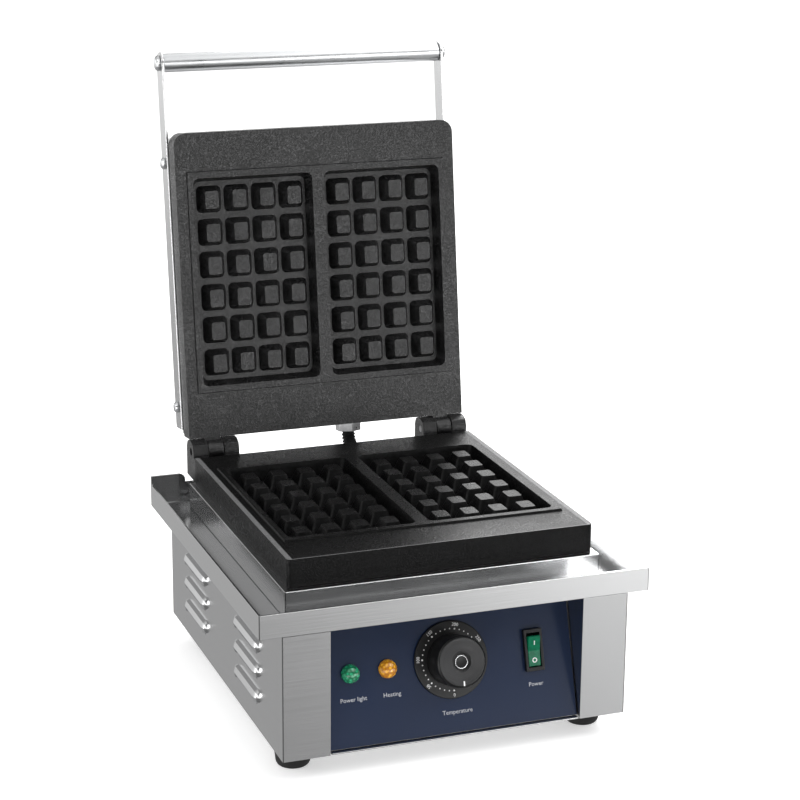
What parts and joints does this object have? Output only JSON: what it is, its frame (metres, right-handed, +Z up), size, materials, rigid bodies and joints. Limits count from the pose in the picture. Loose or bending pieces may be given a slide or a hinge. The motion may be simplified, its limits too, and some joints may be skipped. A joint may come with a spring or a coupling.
{
  "type": "waffle maker",
  "caption": "Counter-top waffle maker standing open: hinged double waffle plates, tube handle, drip tray, and a tilted panel with dial, lamps and rocker switch.",
  "frame": {"origin": "on the ground, below the middle of the whole object's box with the lid open", "axes": "+Z up, -Y towards the user (the control panel side), +X to the user's right; the lid hinge runs along X"},
  "size_m": [0.3, 0.3836, 0.4732],
  "materials": {
    "brushed_steel": "fine straight brushing on folded stainless sheet",
    "bright_steel": "polished",
    "fastener_steel": "plain zinc-grey",
    "cast_iron": "dark, finely grained casting with a seasoned satin surface",
    "panel_paint": "smooth dark blue powder coat",
    "black_plastic": "satin moulding",
    "foot_rubber": "matt",
    "conduit_rubber": "ribbed flexible conduit",
    "green_lens": "translucent green, faceted",
    "amber_lens": "translucent amber, faceted",
    "white_plastic": "plain moulding",
    "rod_steel": "oxidised sheath",
    "mineral_wool": "pressed mineral wool pad"
  },
  "bodies": {
    "base": {"left_side_panel": "brushed_steel", "right_side_panel": "brushed_steel", "back_panel": "brushed_steel", "bottom_plate": "brushed_steel", "front_rail": "brushed_steel", "drip_tray": "brushed_steel", "plate_box": "brushed_steel", "conduit_tray_gland": "bright_steel", "hinge_pin_left": "fastener_steel", "hinge_pin_right": "fastener_steel", "foot_screw_front_left": "fastener_steel", "foot_screw_front_right": "fastener_steel", "foot_screw_rear_left": "fastener_steel", "foot_screw_rear_right": "fastener_steel", "lower_plate": "cast_iron", "hinge_bracket_left": "cast_iron", "hinge_bracket_right": "cast_iron", "control_panel": "panel_paint", "dial_scale_ring": "black_plastic", "switch_housing": "black_plastic", "cord_inlet": "black_plastic", "foot_front_left": "foot_rubber", "foot_front_right": "foot_rubber", "foot_rear_left": "foot_rubber", "foot_rear_right": "foot_rubber", "lid_conduit": "conduit_rubber", "power_lamp_lens": "green_lens", "heating_lamp_lens": "amber_lens", "power_lamp_body": "white_plastic", "heating_lamp_body": "white_plastic", "terminal_block": "white_plastic", "lower_heating_rod": "rod_steel", "thermostat_body": "rod_steel", "lower_insulation": "mineral_wool"},
    "lid": {"upper_plate": "cast_iron", "lid_cover": "brushed_steel", "upper_heating_rod": "rod_steel", "upper_insulation": "mineral_wool", "handle_tube": "bright_steel", "handle_arm_left": "bright_steel", "handle_arm_right": "bright_steel", "handle_bolt_left": "bright_steel", "handle_bolt_right": "bright_steel", "conduit_lid_gland": "bright_steel", "arm_screw_left_lower": "bright_steel", "arm_screw_left_upper": "bright_steel", "arm_screw_right_lower": "bright_steel", "arm_screw_right_upper": "bright_steel", "arm_spacer_left_lower": "fastener_steel", "arm_spacer_left_upper": "fastener_steel", "arm_spacer_right_lower": "fastener_steel", "arm_spacer_right_upper": "fastener_steel", "cover_screw_left_lower": "bright_steel", "cover_screw_left_upper": "bright_steel", "cover_screw_right_lower": "bright_steel", "cover_screw_right_upper": "bright_steel"},
    "knob": {"thermostat_knob": "black_plastic", "thermostat_spindle": "fastener_steel", "knob_pointer": "white_plastic"},
    "rocker": {"power_rocker": "green_lens"}
  },
  "joints": [
    {"name": "lid_hinge", "type": "hinge", "parent": "base", "child": "lid", "pos_m": [0, 0.1123, 0.1593], "axis": [1, 0, 0], "range_deg": [0, 97.8], "deforming": ["lid_conduit"]},
    {"name": "thermostat_turn", "type": "hinge", "parent": "base", "child": "knob", "pos_m": [0.001, -0.16259, 0.07102], "axis": [0, 0.9553, -0.2957], "range_deg": [0, 270]},
    {"name": "power_rocker_tilt", "type": "hinge", "parent": "base", "child": "rocker", "pos_m": [0.066, -0.16241, 0.06992], "axis": [-1, 0, 0], "range_deg": [0, 20]}
  ]
}
